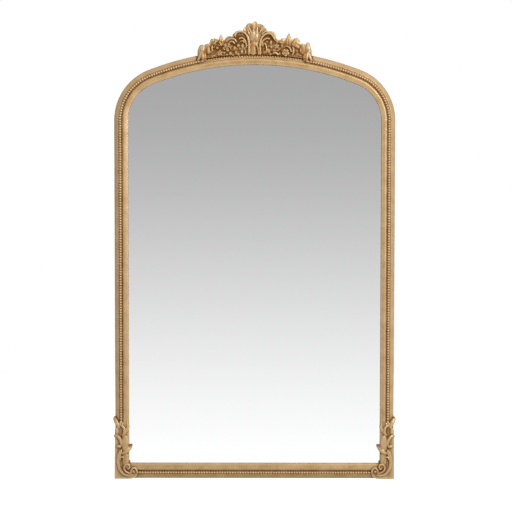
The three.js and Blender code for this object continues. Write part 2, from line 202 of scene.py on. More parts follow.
rail = {
    "width": 24.5,
    "step": 3.0,
    # the face as [offset from the sight edge, depth in front of the wall], from the outside in
    "outerRoll": [[23.7, 6.8], [23.7, 8.8], [23.2, 10.4], [22.0, 11.7], [20.5, 12.7], [18.8, 13.6],
                  [17.3, 14.4]],
    "outerGroove": [[16.8, 14.5], [16.2, 14.2], [15.7, 14.2], [15.2, 14.4]],
    "beadBed": [[15.0, 14.7], [13.2, 15.0], [11.2, 15.0]],
    "innerGroove": [[10.9, 14.9], [10.4, 14.9], [10.0, 15.3], [9.6, 16.1]],
    "innerSlope": [[9.1, 16.8], [8.2, 17.4], [7.2, 17.6], [6.0, 17.55], [4.4, 17.3], [2.8, 17],
                   [1.2, 16.65], [0.5, 16.4], [0, 15.5]],
    "back": [[0, 12.6], [5.3, 12.6], [5.3, 9.3], [14.3, 9.3], [14.3, 0], [23.7, 0]],
}


def smoothLine(points, perSpan=3):
    # a curve through the points
    points = np.array(points, float)
    ends = np.concatenate([[2 * points[0] - points[1]], points, [2 * points[-1] - points[-2]]])
    line = []
    for before, start, end, after in zip(ends, ends[1:], ends[2:], ends[3:]):
        for t in np.arange(perSpan) / perSpan:
            line.append(0.5 * (2 * start + (end - before) * t
                               + (2 * before - 5 * start + 4 * end - after) * t ** 2
                               + (3 * start - before - 3 * end + after) * t ** 3))
    return np.array([*line, points[-1]])


def railFace():
    named = ["outerRoll", "outerGroove", "beadBed", "innerGroove", "innerSlope"]
    return np.concatenate([smoothLine(rail[name]) for name in named])


def railBody():
    section = np.concatenate([railFace(), rail["back"]])
    stations = sightStations(rail["step"])
    wide = section[:, 0] * crownStretch(stations[:, 3:4])
    reach = np.where(stations[:, 3:4] == -1, footOffset(section[:, 0]), wide)
    rings = np.empty((len(stations), len(section), 3))
    rings[:, :, 0] = stations[:, 0:1] + stations[:, 2:3] * wide
    rings[:, :, 1] = -section[:, 1]
    rings[:, :, 2] = stations[:, 1:2] + stations[:, 3:4] * reach
    return skin(rings, looped=True)


beads = {
    "offset": 13.2,
    "depth": 16.1,
    "radius": 2.2,
    # under the crest they are smaller and lower, up to a distance from its ends
    "coveredSize": 0.78, "coveredDrop": 0.9, "coverMargin": 6,
    "pitch": 4.34,
    "around": 14,
    "rings": 8,
    "sideFoot": -462,  # the side rows end on the corner carving
    "footHalfSpan": 200,
}


def beadPlaces():
    fine = sightStations(1.0)
    line = fine[:, :2] + fine[:, 2:] * beads["offset"] * crownStretch(fine[:, 3:])
    isFoot = fine[:, 1] <= arch["foot"]
    upper = line[~isFoot]
    upper = upper[upper[:, 1] > beads["sideFoot"]]
    walked = np.concatenate([[0], np.cumsum(np.hypot(*np.diff(upper, axis=0).T))])
    count = round(walked[-1] / beads["pitch"])
    stops = (np.arange(count) + 0.5) * walked[-1] / count
    arched = np.stack([np.interp(stops, walked, upper[:, i]) for i in (0, 1)], axis=1)
    footCount = round(2 * beads["footHalfSpan"] / beads["pitch"])
    across = np.linspace(-beads["footHalfSpan"], beads["footHalfSpan"], footCount)
    low = arch["foot"] - footOffset(beads["offset"])
    return np.concatenate([arched, np.stack([across, np.full(footCount, low)], axis=1)])


def ballBody(centre, size, around, rings, turn=0):
    # a ball with its poles to the front and back, turned about the line of sight
    angles = np.arange(around) * 2 * math.pi / around
    points = [[0, -1, 0]]
    for lift in np.linspace(0, math.pi, rings + 2)[1:-1]:
        reach = math.sin(lift)
        points += [[reach * math.cos(a), -math.cos(lift), reach * math.sin(a)] for a in angles]
    points = np.array([*points, [0, 1, 0]]) * size
    c, s = math.cos(turn), math.sin(turn)
    x, z = points[:, 0].copy(), points[:, 2].copy()
    points[:, 0], points[:, 2] = c * x - s * z, s * x + c * z
    last = len(points) - 1
    faces = []
    for j in range(around):
        k = (j + 1) % around
        faces.append((0, 1 + j, 1 + k))
        faces.append((last, last - around + k, last - around + j))
        for i in range(rings - 1):
            here = 1 + i * around
            faces.append((here + j, here + around + j, here + around + k, here + k))
    return points + centre, faces


def beadBodies():
    bodies = []
    for x, z in beadPlaces():
        isCovered = z > 0 and abs(x) < crestPlan["halfSpan"] - beads["coverMargin"]
        size = np.full(3, beads["radius"] * (beads["coveredSize"] if isCovered else 1))
        depth = beads["depth"] - (beads["coveredDrop"] if isCovered else 0)
        bodies.append(ballBody((x, -depth, z), size, beads["around"], beads["rings"]))
    return bodies


# Carved forms: front and back are depths in front of the wall

carving = {
    "back": 6,
    "crestGround": 17.5,
    "cornerGround": 16.8,
    "crestRelief": 0.64,  # how far the forms stand out, as a share of the depths given for them
    "cornerRelief": 0.62,
    "plumpness": 1.14,  # of the petals
    "petalPoints": (20, 11),  # around a petal and from front to back
    "padSize": (3.2, 2.5), "padDepth": 20.6, "padTurn": 47,
    "glassClearance": 13.4,
    "across": 15,  # points over the width of a leaf
    "step": 1.2,  # how far apart its sections are
    "scrollBlunt": 0.93,  # where along a scroll its ends begin to narrow
    "endDrop": 1.3,  # how much lower a ribbon is at its ends
}


# The section of a carved body: s goes from side to side and t from root to tip

def veinedForm(s, t):
    groove = 0.34 * np.exp(-((s / 0.17) ** 2))
    return np.clip(1 - np.abs(s) ** 2.4, 0, 1) ** 0.8 * (1 - groove)


def roundForm(s, t):
    return np.sqrt(np.clip(1 - 0.97 * s ** 2, 0, 1))


def bandForm(s, t):
    return np.clip(1 - np.abs(s) ** 3.5, 0, 1) * (1 - 0.28 * np.exp(-((s / 0.3) ** 2)))


def flatForm(s, t):
    return np.clip(1 - np.abs(s) ** 4, 0, 1) ** 0.7


def lobeForm(s, t):
    # round at the root, hollow between turned rims at the tip
    hollow = (0.25 + 0.75 * np.abs(s) ** 1.6) * np.clip((1 - np.abs(s)) / 0.16, 0, 1) ** 0.5
    share = min(t * 1.6, 1)
    return roundForm(s, t) * (1 - share) + hollow * share


def carved(places, sides, halves, crowns, form, back=carving["back"]):
    across = np.linspace(-1, 1, carving["across"])
    rings = np.empty((len(places), carving["across"] + 2, 3))
    for i, (place, side, half, crown) in enumerate(zip(places, sides, halves, crowns)):
        swell = max(min(half * 0.85, crown - back - 0.5), 0.1)
        spread = np.concatenate([across, [1, -1]]) * half
        rings[i, :, 0] = place[0] + side[0] * spread
        rings[i, :, 2] = place[1] + side[1] * spread
        rings[i, :-2, 1] = -(crown - swell * (1 - form(across, i / (len(places) - 1))))
        rings[i, -2:, 1] = -back
    return skin(rings)


def tipRound(t, start):
    return np.sqrt(np.clip(1 - (np.clip(t - start, 0, 1) / (1 - start)) ** 2, 0.02, 1))


def ribbon(course, form=roundForm, blunt=0.9, back=carving["back"]):
    # a band along a smooth line whose stops are [across, up, width, depth]
    line = smoothLine(course, 8)
    walked = np.concatenate([[0], np.cumsum(np.hypot(*np.diff(line[:, :2], axis=0).T))])
    steps = max(8, round(walked[-1] / carving["step"]))
    stops = np.linspace(0, walked[-1], steps + 1)
    across, up, width, depth = (np.interp(stops, walked, line[:, i]) for i in range(4))
    places = np.stack([across, up], axis=1)
    tangents = np.gradient(places, axis=0)
    tangents /= np.linalg.norm(tangents, axis=1)[:, None]
    sides = np.stack([-tangents[:, 1], tangents[:, 0]], axis=1)
    t = stops / walked[-1]
    ends = tipRound(t, blunt) * tipRound(1 - t, blunt)
    return [carved(places, sides, width / 2 * ends, depth - carving["endDrop"] * (1 - ends), form, back)]


def leaf(course):
    return ribbon(course, veinedForm)


def panel(course):
    return ribbon(course, flatForm)


def overGlass(course, form=veinedForm):
    # its back clears the glass
    return ribbon(course, form, back=carving["glassClearance"])


def scroll(centre, radius, turn, width, depth):
    # a band that turns about a centre while its radius changes
    swept = np.radians(turn)
    steps = max(10, round(abs(swept[1] - swept[0]) * max(radius) / carving["step"]))
    t = np.linspace(0, 1, steps + 1)
    angles = swept[0] + (swept[1] - swept[0]) * t
    out = np.stack([np.cos(angles), np.sin(angles)], axis=1)
    reach = radius[0] + (radius[1] - radius[0]) * t
    places = np.array(centre, float) + out * reach[:, None]
    blunt = carving["scrollBlunt"]
    halves = width / 2 * tipRound(t, blunt) * tipRound(1 - t, blunt)
    return [carved(places, out, halves, depth + np.sin(math.pi * t), roundForm)]


def petal(at, size, depth, turn=0, root=carving["crestGround"] - 1):
    # a stretched ball that swells out of the ground
    plump = carving["plumpness"]
    size = size[0] * plump, depth - root, size[1] * plump
    return [ballBody((at[0], -root, at[1]), size, *carving["petalPoints"], math.radians(turn))]


def pads(places):
    bodies = []
    for i, place in enumerate(places):
        bodies += petal(place, carving["padSize"], carving["padDepth"], carving["padTurn"] * i)
    return bodies


def blossom(at, petals, radius, petalSize, depth, middle):
    bodies = petal(at, (middle, middle), depth + 1.2)
    for i in range(petals):
        angle = 90 + 360 * i / petals
        out = math.radians(angle)
        place = at[0] + radius * math.cos(out), at[1] + radius * math.sin(out)
        bodies += petal(place, petalSize, depth, angle)
    return bodies


def rose(at, rounds, depth, middle):
    # rounds of cupped petals, each [radius, petals, width, start angle, depth below the middle]
    bodies = petal(at, (middle, middle), depth)
    for radius, petals, width, start, lower in rounds:
        half = 180 / petals * 0.86
        for i in range(petals):
            angle = start + 360 * i / petals
            bodies += scroll(at, (radius, radius * 0.94), (angle - half, angle + half), width, depth - lower)
    return bodies


def formed(entries):
    # an entry is the course of a ribbon, the values of a petal, or a function with its values
    bodies = []
    for entry in entries:
        if isinstance(entry, list):
            bodies += ribbon(entry)
        elif callable(entry[0]):
            bodies += entry[0](*entry[1:])
        else:
            bodies += petal(*entry)
    return bodies


def slab(outline, back, front):
    rings = np.array([[(x, -depth, z) for x, z in outline] for depth in (back, front)], float)
    return [skin(rings)]


# The crest, drawn on its centre line with its foot at height 0

crestPlan = {
    "datum": 163.3,
    "halfSpan": 93,
    "footOffset": 16.6,
    "footSteps": 41,
    # the top of the ground from left to right, as [across, up]
    "groundLine": [(-95, 3), (-92, 12), (-84, 14.4), (-78, 15.6), (-74.6, 24), (-61, 24), (-56.8, 28),
                   (-53, 24.5), (-46, 25.4), (-38, 27), (-34.4, 33.4), (-30, 36.6), (-24, 37.6),
                   (-18, 37), (-12, 44), (12, 44), (18, 37), (25, 36.6), (31, 34.6), (35, 28),
                   (39, 24.6), (48, 25), (53, 28), (57.4, 32), (61, 27), (65, 24.4), (72, 25.4),
                   (75.4, 22), (77, 17), (80, 15.6), (86, 15.6), (91, 18), (93.4, 9), (95, 3)],
}
shellPlan = {
    "focus": (0.5, 10),
    "start": 5,  # how far from the focus the lobes start
    # the lobes: the tip, the width and the depth
    "lobes": [[(-21, 38.5), 7, 20.4], [(21.8, 38.6), 7, 20.4], [(-17, 45.6), 8.6, 21.6],
              [(17.6, 44.6), 8.6, 21.6], [(0.6, 55.4), 7.4, 21.8], [(-9, 52), 14, 23], [(10, 51), 14, 23]],
    "rootShare": 0.26, "tipShare": 0.9,  # the width of a lobe there, as shares of its greatest width
    "belly": 0.86,  # where along it that is
    "blunt": 0.93,
}
# the fine rays over the lobes, and two bosses where they meet
shellRays = [
    [(-5.4, 35, 1.8, 23.4), (-8.2, 41, 2.4, 24.4), (-11, 47, 2.6, 24.2), (-11, 52, 2, 22.8)],
    [(-2.2, 33, 1.6, 23.8), (-2.7, 41, 2.1, 24.2), (-3, 49, 1.8, 23.2)],
    [(3.4, 34, 3.6, 25), (3.8, 41, 3.4, 24.8), (4, 47, 2.6, 23.6)],
    [(7.8, 35, 1.8, 24), (10, 40, 2.2, 24.4), (12.8, 46.6, 2, 23.2)],
    [(11.6, 33, 1.8, 23.4), (15.2, 36.6, 2.2, 23.8), (19.4, 40, 2, 22.6)],
    ((3, 31), (4.6, 10), 24.6, -5),
    ((-2, 33), (7, 8.5), 23.6, -5),
]


def crestGround():
    line = np.array(crestPlan["groundLine"], float)
    across = np.linspace(line[-1, 0], line[0, 0], crestPlan["footSteps"])
    foot = topCentre + np.sqrt((topRadius + crestPlan["footOffset"]) ** 2 - across ** 2)
    lower = np.stack([across, foot - crestPlan["datum"]], axis=1)
    return slab(np.concatenate([line, lower]), 0, carving["crestGround"])


def lobe(tip, width, depth):
    # one of a fan of hollow lobes with turned rims
    focus = np.array(shellPlan["focus"])
    tip = np.array(tip, float)
    root = focus + (tip - focus) * shellPlan["start"] / np.hypot(*(tip - focus))
    along = tip - root
    length = np.hypot(*along)
    t = np.linspace(0, 1, max(8, round(length / carving["step"])) + 1)
    places = root + along * t[:, None]
    sides = np.tile([-along[1], along[0]] / length, (len(t), 1))
    belly = shellPlan["belly"]
    share = np.where(t < belly, 1 + (shellPlan["rootShare"] - 1) * (1 - t / belly) ** 2,
                     1 + (shellPlan["tipShare"] - 1) * ((t - belly) / (1 - belly)) ** 2)
    rounding = tipRound(t, shellPlan["blunt"])
    crowns = depth - np.sin(math.pi * t) - 1.6 * (1 - rounding)
    return carved(places, sides, width / 2 * share * rounding, crowns, lobeForm)


def shell():
    return [lobe(*values) for values in shellPlan["lobes"]] + formed(shellRays)


# a round-topped panel under the shell, in a thin rim
tongue = [
    (ribbon, [(-2.9, -1.5, 11.6, 21.2), (-2.9, 7, 11.6, 21.8), (-2.8, 13, 9.8, 21.8), (-2.6, 18, 5.4, 21.2)],
     flatForm, 0.8),
    [(-8.2, 12.4, 1.4, 21.4), (-6.4, 17.4, 1.8, 22), (-2.6, 20.2, 2.2, 22.4), (1.8, 17.6, 2.6, 22.2),
     (4.6, 12, 2.8, 22), (6, 5, 2.8, 21.8), (6.5, -1.5, 2.4, 21.4)],
]

# the husk at the end, whose fingers hang over the rail, drawn for the right half
foldedEnd = [
    ((89.6, 7.4), (2.4, 2.4), 23),
    [(89.8, 5, 3, 22), (91.8, -1, 4.6, 22.8), (94.2, -7, 4.6, 22.2), (96.4, -12, 2.4, 20)],
    [(88.6, 4, 3, 22.6), (87.8, -2, 4.8, 24), (87.4, -8, 4.8, 23.4), (88.4, -13.4, 2.4, 21)],
    [(84.8, 3, 3, 21.4), (83.4, -4, 4.6, 22.2), (83.8, -11, 2.4, 20.4)],
]

# the leaves behind the flowers
uprightLeaves = [
    (panel, [(-90.8, -6, 11, 19.2), (-90.4, 4, 12.6, 20), (-88.6, 12, 11, 19.8), (-88, 16.6, 9, 18.4)]),
    (panel, [(-79.6, 0, 11, 18.8), (-79.8, 10, 11, 19.4), (-79.4, 18.2, 8, 18.2)]),
    (leaf, [(-68.6, 6, 14, 18.8), (-68.4, 18, 15, 19.4), (-68, 27, 13, 18.2)]),
    (leaf, [(-56.4, 10, 11, 18.8), (-56.8, 22, 9.6, 19.2), (-56.9, 34, 1, 18.2)]),
    (panel, [(-46, 14, 12, 18.6), (-45.4, 22, 12, 19), (-42.6, 29.6, 8, 18.2)]),
    (panel, [(45, 10, 9, 18.6), (46, 20, 9, 19), (48, 27.4, 5, 18.2)]),
    (leaf, [(56.4, 10, 13, 18.8), (56.6, 22, 12, 19.4), (57.8, 36.6, 1, 18.2)]),
    (panel, [(69, 6, 13, 18.8), (69.4, 18, 14, 19.4), (70.6, 28, 8, 18.2)]),
    (panel, [(80.4, 0, 10, 18.8), (80.6, 10, 10.6, 19.4), (80.4, 18.4, 8, 18.2)]),
    (panel, [(90.4, -6, 11, 19.2), (89.8, 4, 12.4, 20), (89, 12.4, 10, 19.8), (90.2, 20.6, 4.4, 18.4)]),
]

leftCarving = [
    # the stem and its scroll, with the rim behind it and the curls inside
    [(-10, -1.2, 4.2, 22), (-9.8, 10, 4, 23), (-10, 20, 3.8, 24.2), (-11.6, 28, 3.6, 25),
     (-14.8, 33.8, 3.4, 25), (-20, 37.4, 3.4, 24.8), (-26, 38.2, 3.4, 24.4), (-31, 36.4, 4, 24.4),
     (-33, 32.2, 4.6, 24.2), (-31.8, 28.4, 3.6, 23.4)],
    [(-35.6, 26, 2.4, 19), (-36.6, 31, 2.4, 19.6), (-34.6, 36, 2, 19.4)],
    [(-14.6, 10, 2.4, 22), (-14.6, 17, 2.6, 23), (-16.6, 23.6, 2.6, 24), (-20.6, 27.2, 2.8, 24.6),
     (-24.6, 27.2, 3, 24.6), (-27.4, 24.6, 2.6, 23.6)],
    [(-17.6, 18.6, 2.2, 22.6), (-19.2, 22, 2.2, 23), (-22, 22.8, 2.2, 23), (-25.2, 21, 2.2, 22.4)],
    # the lumps of leaf that hang under it
    ((-20.7, 14), (3, 4.8), 24.2),
    ((-27.9, 14.8), (3.3, 3.1), 24.4, -15),
    ((-34.2, 10.4), (2.8, 4.2), 24.4),
    ((-21.8, 5), (2.7, 4.5), 23.4),
    ((-15.6, 4.6), (1.8, 4.4), 21.8),
    ((-31.6, 3.6), (2.5, 3.3), 22.4),
    ((-41, 1.8), (3.4, 3.6), 24),
    ((-36.6, -1), (2.2, 1.8), 21.8),
    # low pads of leaf between the others
    (pads, [(-24.8, 9.6), (-31.2, 9.4), (-17.4, 10), (-38.4, 8), (-39.6, 13.6), (-53.6, 9), (-54.4, 17.6),
     (-60.4, 15.6), (-64, 1.4), (-73.6, 5), (-66, 22), (-28, 0.4), (-44.6, 5.6), (-71.6, -3)]),
    # the wave that runs out of the scroll
    [(-30.2, 20, 3, 23), (-34.4, 25.4, 3.2, 23.8), (-40.4, 26.4, 3.2, 23.6), (-46, 23.8, 3, 23),
     (-48.8, 20.2, 2.4, 22)],
    [(-33.6, 17, 2.8, 23.4), (-36.4, 20.8, 3, 24.2), (-40.4, 21.6, 2.8, 23.8), (-44, 19, 2.2, 22.8)],
    [(-37.4, 28, 2, 19.4), (-41, 30, 2, 19.6), (-45, 29.4, 2, 19.4), (-48, 27, 2, 19)],
    # the rose and the small cups under it
    (rose, (-46.6, 12), [(3.4, 3, 1.9, 30, 0.8), (6.2, 5, 2.2, 60, 1.8)], 23.8, 1.9),
    ((-51.4, 2.8), (2.5, 2.1), 22.8, 20),
    ((-47, -0.4), (2.3, 1.9), 22.6),
    # the large flower: a boss in a ring of petals
    ((-63.4, 10.8), (2.9, 2.9), 24.8),
    [(-61, 21.4, 2.4, 22.6), (-58, 18.6, 3.2, 23.6), (-56.2, 13.6, 2.6, 23.2)],
    [(-71, 15.6, 2.4, 22), (-72.2, 10, 3.4, 23), (-70.8, 4.6, 2.4, 22.2)],
    ((-67.8, 18.4), (3.7, 2.2), 23.6, 25),
    (scroll, (-63.4, 10.8), (5.2, 5.2), (30, 190), 1.6, 21),
    (blossom, (-59, 2.6), 5, 3.3, (2.5, 2.2), 23.6, 1.7),
    ((-68.6, -2), (2.6, 1.9), 21.6),
    [(-77.8, 13.6, 4.4, 21), (-78, 7, 5.4, 23), (-77.8, 0.6, 4.2, 22.4)],
]

rightCarving = [
    # the stem and its scroll, with the rim behind it and the curls inside
    [(9.4, -1.2, 4.4, 22.4), (8.9, 8, 3.8, 23.2), (8.9, 18, 3.4, 24.4), (11.2, 27, 3.2, 25.2),
     (16.4, 32.8, 3.2, 25.2), (22.6, 35.2, 3.2, 25.2), (27.4, 34.2, 3.4, 25), (30.4, 30.4, 3.2, 24.8),
     (34, 24.6, 2.6, 23.8), (36, 21.6, 2, 22.6)],
    [(18.6, 37, 2.6, 20.4), (25, 37.4, 3, 21.2), (31, 36, 3.6, 21.6), (33.8, 31.6, 3.4, 21.4),
     (34.4, 27, 2.6, 20.6)],
    [(11.8, 14, 2.4, 22.2), (12.8, 21, 2.8, 23.4), (16.6, 25.4, 3, 24.4), (21.8, 27, 3, 24.6),
     (26, 25, 2.8, 24)],
    [(13, 12, 2.2, 22), (14.4, 17.4, 2.6, 23), (17.2, 18.2, 2.6, 23.4), (19.2, 13.4, 2.6, 23.4),
     (19.8, 8, 3, 23.2), (18.8, 1.6, 2.6, 21.8)],
    # the lumps of leaf under it
    ((27, 19.8), (2.7, 4.4), 24.4, -5),
    ((27.9, 12.6), (2.9, 3), 24.2),
    ((23.4, 6), (3.1, 4.6), 24.2, 10),
    ((31.8, 7), (2.3, 2.4), 23.4),
    ((26, 0.4), (2.6, 1.9), 22),
    [(29.4, 1.2, 2.8, 23), (33, 3, 3, 23.8), (37, 1.6, 3, 23.8), (40.4, -1.4, 2.4, 22.8)],
    (pads, [(23.4, 14), (31.6, 15.4), (33, 11), (16, 4), (28.6, 7.6), (41.8, 9.6), (46.4, 7.4), (35.4, 6.6),
     (45.8, 19.6), (49, 12.6), (58.4, 10.6), (70.4, 6), (71.6, 0.4), (66, 20), (37.4, 22), (80, 3)]),
    # the ring flower and the petals next to it
    (blossom, (36.8, 13.6), 5, 2.9, (2.3, 1.9), 22.8, 1.6),
    ((45.6, 13.8), (2.2, 4.3), 24.2, 6),
    ((39, 7), (2.2, 1.8), 22.8, 20),
    ((43, 20.4), (3, 1.9), 21.8, -20),
    ((41.6, 1.8), (1.9, 2.2), 22.4),
    # the bloom under its cupped leaves
    ((51.8, 3.2), (5.6, 5.2), 22),
    (rose, (51.8, 3.2), [(2.8, 4, 1.9, 20, 0.4), (5.3, 5, 2.4, 54, 1.2)], 24, 1.5),
    [(50.4, 14.4, 2.2, 22), (56.4, 13, 2.8, 23.2), (60.2, 8.6, 3, 23.8), (61.2, 3, 2.4, 23.2)],
    [(63.4, 13.4, 2.6, 22.8), (65.2, 8, 3.6, 24.2), (64.8, 2.2, 3, 23.8), (62, -2, 2.2, 22.6)],
    (panel, [(61.6, 17.6, 4, 21), (68.6, 15.4, 7, 22), (75.4, 10.8, 4.4, 22)]),
    ((77.2, 6.8), (2.2, 4.3), 24),
    ((76.4, -1.6), (2.2, 1.9), 21.8),
]


def crestBodies():
    ends = formed(foldedEnd)
    bodies = crestGround() + formed(uprightLeaves) + ends + mirrored(ends) + shell()
    bodies += formed([*tongue, *leftCarving, *rightCarving])
    return movedTo(lowered(bodies, carving["crestGround"], carving["crestRelief"]), 0, crestPlan["datum"])


# The carved corners, drawn for the left one from its outer bottom point: x runs inwards and z up

cornerPlan = {
    "groundOutline": [(-0.4, 1.6), (30, 2), (37, 5), (40, 11), (38, 18), (30, 21), (20, 26), (17, 40),
                      (17, 84), (13, 92), (6, 93), (0.4, 86)],
    "groundBack": 9,
    "block": [(-0.6, 0.4), (26, 0.4), (24, 6), (0.6, 40)],
    "blockFront": 10.5,
}
frameHighX = arch["halfWidth"] + rail["width"]

cornerForms = [
    (slab, cornerPlan["groundOutline"], cornerPlan["groundBack"], carving["cornerGround"]),
    (slab, cornerPlan["block"], 0, cornerPlan["blockFront"]),
    # the smooth panel over the inner half of the rail
    (panel, [(18.6, 46, 11, 20.6), (18.4, 36, 12, 20.8), (19.6, 27, 11, 20.4), (23, 20, 8, 19.6)]),
    # the head: a broad leaf that turns out over the edge, a narrow one along the glass, and a curl
    (leaf, [(7.8, 88, 4, 20.4), (5.8, 94, 6.4, 21), (2.8, 100, 7.4, 20), (0.2, 105, 5.8, 17.4),
     (-1.2, 108.4, 2.2, 14.5)]),
    (overGlass, [(16.6, 78, 4, 20.6), (20.6, 85, 5.6, 20.8), (22.6, 91, 4.8, 20), (22, 98, 3, 19.4),
     (21.2, 106, 1.4, 18.4)]),
    [(9.6, 94, 3, 20.4), (13.6, 92.6, 4, 22), (16.8, 88, 4.6, 23), (16.8, 81.6, 4.6, 23),
     (13.4, 76, 3.4, 21.8)],
    (leaf, [(9.4, 92, 2.6, 20.2), (9.8, 97.6, 3.2, 20.2), (11.8, 102, 1.8, 18.6)]),
    ((14, 96.6), (2.4, 3.2), 20.6, 0, 15),
    (leaf, [(2.6, 90, 4, 19.6), (4.4, 85, 6, 20.8), (5, 79, 5, 20.4)]),
    # the leaf that turns out below it, and the fold at its foot
    [(11.4, 58, 3.2, 21.4), (11.2, 65, 4.4, 22.8), (9.2, 71, 5, 23.4), (5.4, 75.2, 5.2, 22.6),
     (1.4, 76, 4.4, 20), (-1.6, 74.2, 2.4, 16)],
    [(11.4, 56, 3, 21.4), (7, 58.2, 5, 22.6), (2.4, 57.8, 4.4, 20.6)],
    # the pale panel inside it
    (panel, [(18.2, 77, 8, 20.6), (18.2, 70, 12.4, 21.8), (18.2, 58, 12.6, 22), (18.6, 50, 9, 21)]),
    # the broad leaf that rises over the panel and turns over the glass
    (overGlass, [(12.2, 45.2, 4, 21.4), (17, 47.2, 6.4, 23.2), (22, 51.4, 8, 22.4), (26.6, 57, 6.6, 18.6),
     (29.8, 61.6, 2.2, 14.8)]),
    # the long scroll, broad at the top, with a small hook inside it
    (ribbon, [(12.6, 53, 4, 21.4), (9.8, 47.4, 7, 22.6), (7.4, 41, 7, 22.4), (6.2, 33, 6.2, 21.6),
     (6.8, 25, 5.6, 21.2), (9.4, 17.6, 5.4, 21), (14, 11.6, 5, 21), (20, 8.4, 4.6, 21), (27, 7.8, 3.8, 20.6),
     (32.4, 9.8, 2.8, 19.8)], bandForm),
    [(16, 37.6, 2.2, 22), (12.8, 40, 2.6, 22.8), (10, 38, 2.6, 22.8), (9.6, 34, 2.2, 21.8)],
    # the volute, the loop beside it, and the tip over the inner corner
    [(30, 11.8, 2.4, 20.8), (24, 12.4, 3, 22), (18.8, 15.6, 3.2, 22.8), (16.2, 21, 3.2, 23.2),
     (18.6, 26.2, 3.2, 23.6), (23.4, 27.2, 3.2, 23.8), (26, 23.4, 3, 23.8), (24.2, 19.4, 2.8, 23.6),
     (21, 20.4, 2.6, 23.4)],
    [(28, 9.8, 2.6, 20.8), (28, 15.4, 3, 22.2), (30.4, 20, 3.4, 22.8), (34.4, 20.8, 3.4, 22.8),
     (37.6, 17.4, 3.2, 22.4), (38.4, 11.6, 2.8, 21)],
    ((32.6, 14.6), (2.8, 3.2), 21.8, 0, 15),
    (overGlass, [(22, 30, 3, 19), (25.2, 31, 3.6, 16.8), (27, 31.4, 2.4, 15)], roundForm),
]


def cornerBodies(side):
    bodies = lowered(formed(cornerForms), carving["cornerGround"], carving["cornerRelief"])
    if side > 0:
        bodies = mirrored(bodies)
    return movedTo(bodies, side * frameHighX, frameLow.z)


# The relief of the whole front, which tells the finish where the hollows and the high places are, with
# painted shade and painted highlights added to it

relief = {
    "cell": 0.6, "margin": 8, "near": 1.3, "far": 4.5, "glassDepth": 12.3, "ground": 8, "plain": -0.25,
    "nearShare": 0.42, "farShare": 0.85,
    # painted shadow on the rail just below the crest, and painted light a little further down: distances
    # below its foot, and what they add
    "paintedShadeUnderCrest": [[0, 2.2, 3.8, 6, 8.4, 12, 16], [-0.5, -0.4, 0.4, 0.8, 0.1, -0.15, 0]],
    # painted light over the width of the rail, painted shade on the inner slope and a painted highlight on
    # the outer side: distances from the sight edge, and what they add
    "paintedLightOverRail": [[9, 10, 16.5, 18.5], [-0.08, 0, 0, 0.2]],
    # painted highlights and painted shade: places on both sides that are paler or darker, as [across, up,
    # half width, half height, how far]
    "paintedShadesAndHighlights": [[0, 200, 14, 17, 1.1], [6.5, 209.5, 2, 4, -0.5], [3, 185.2, 7, 2.4, -0.5],
                  [90, 176, 6, 12, 0.5], [220, -494, 6, 12, 0.3], [211, -499.5, 3.6, 4, -1],
                  [212, -529, 3, 3, -1], [239.6, -455, 2.6, 6, -0.7], [240, -485.5, 2.6, 2.6, -0.7],
                  [57.3, 197.5, 3, 4, -0.6], [0, 218.5, 3, 2.6, -0.6], [90, 181.5, 5, 3, -0.4],
                  [72, 190, 5, 3, -0.4], [27, 192.5, 5.5, 4.5, -0.55]],
    # how much lower a whole piece counts
    "sunk": {"moulding": -0.14, "beads": -0.38, "crest": 0.12, "corner": -0.08},
}


def sparseMap(shape, origin, points):
    depths = np.zeros(shape)
    places = np.round((points[:, [0, 2]] - origin) / relief["cell"]).astype(int)
    inside = ((places >= 0) & (places < shape)).all(axis=1)
    places = places[inside]
    np.maximum.at(depths, (places[:, 0], places[:, 1]), -points[inside, 1])
    return depths


def blurred(depths, reach):
    # a soft copy, through the frequencies of a bell of the given reach
    across = np.fft.fftfreq(depths.shape[0], relief["cell"])[:, None]
    up = np.fft.rfftfreq(depths.shape[1], relief["cell"])[None, :]
    bell = np.exp(-2 * (math.pi * reach) ** 2 * (across ** 2 + up ** 2))
    return np.fft.irfft2(np.fft.rfft2(depths) * bell, depths.shape)


def reliefMaps(castPieces):
    margin, cell = relief["margin"], relief["cell"]
    low = np.array([-frameHighX - margin, frameLow.z - margin])
    high = np.array([frameHighX + margin, frameHigh.z + margin])
    shape = tuple(np.ceil((high - low) / cell).astype(int))
    x = low[0] + np.arange(shape[0])[:, None] * cell
    z = low[1] + np.arange(shape[1])[None, :] * cell
    offset = offsetAt(x, z)
    face = railFace()[::-1]
    depths = np.interp(offset, face[:, 0], face[:, 1], left=relief["glassDepth"], right=relief["ground"])
    for piece in castPieces:
        depths = np.maximum(depths, sparseMap(shape, low, pointsOf(piece)))
    return low, blurred(depths, relief["near"]), blurred(depths, relief["far"])


def sampled(depths, origin, points):
    places = (points[:, [0, 2]] - origin) / relief["cell"]
    base = np.clip(np.floor(places).astype(int), 0, np.array(depths.shape) - 2)
    part = np.clip(places - base, 0, 1)
    i, j, a, b = base[:, 0], base[:, 1], part[:, 0], part[:, 1]
    lower = depths[i, j] * (1 - a) + depths[i + 1, j] * a
    upper = depths[i, j + 1] * (1 - a) + depths[i + 1, j + 1] * a
    return lower * (1 - b) + upper * b


